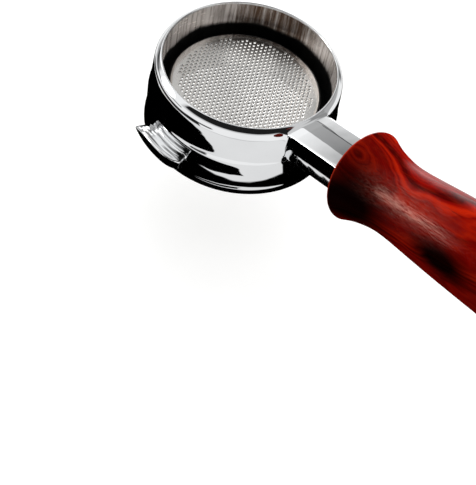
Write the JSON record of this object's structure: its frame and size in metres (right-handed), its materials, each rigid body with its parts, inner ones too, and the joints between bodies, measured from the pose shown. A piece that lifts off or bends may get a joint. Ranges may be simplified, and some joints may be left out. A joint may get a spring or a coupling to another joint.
{
  "type": "espresso portafilter",
  "caption": "Bottomless portafilter: plated ring with bayonet lugs and a neck, a lift-out perforated basket held by a wire spring, and a turned wooden grip on a stud.",
  "frame": {"origin": "on the ring's axis, in the plane of its rim", "axes": "+Z out of the basket's mouth, along the ring's axis; +X along the handle, which droops 15 degrees below it"},
  "size_m": [0.2154, 0.082, 0.075],
  "materials": {
    "plated_body": "mirror-polished chrome plate on brass",
    "basket_steel": "satin stainless steel",
    "spring_steel": "drawn stainless wire",
    "grip_wood": "oiled and polished rosewood",
    "stud_steel": "zinc-plated steel",
    "insert_brass": "turned brass"
  },
  "bodies": {
    "holder": {"filter_holder": "plated_body", "basket_spring": "spring_steel", "spring_washer": "spring_steel"},
    "basket": {"filter_basket": "basket_steel"},
    "stud": {"handle_stud": "stud_steel"},
    "grip": {"handle_grip": "grip_wood", "threaded_insert": "insert_brass"}
  },
  "joints": [
    {"name": "basket_lift", "type": "slide", "parent": "holder", "child": "basket", "axis": [0, 0, 1], "range_m": [0, 0.03]},
    {"name": "stud_withdraw", "type": "slide", "parent": "holder", "child": "stud", "axis": [0.9659, 0, -0.2588], "range_m": [0, 0.0126]},
    {"name": "grip_unscrew", "type": "hinge", "parent": "stud", "child": "grip", "pos_m": [0.0613, 0, -0.0314], "axis": [0.9659, 0, -0.2588], "range_deg": [0, 3600]}
  ],
  "couplings": [
    {"joint": "stud_withdraw", "follows": "grip_unscrew", "m_per_rad": 0.00019894}
  ]
}
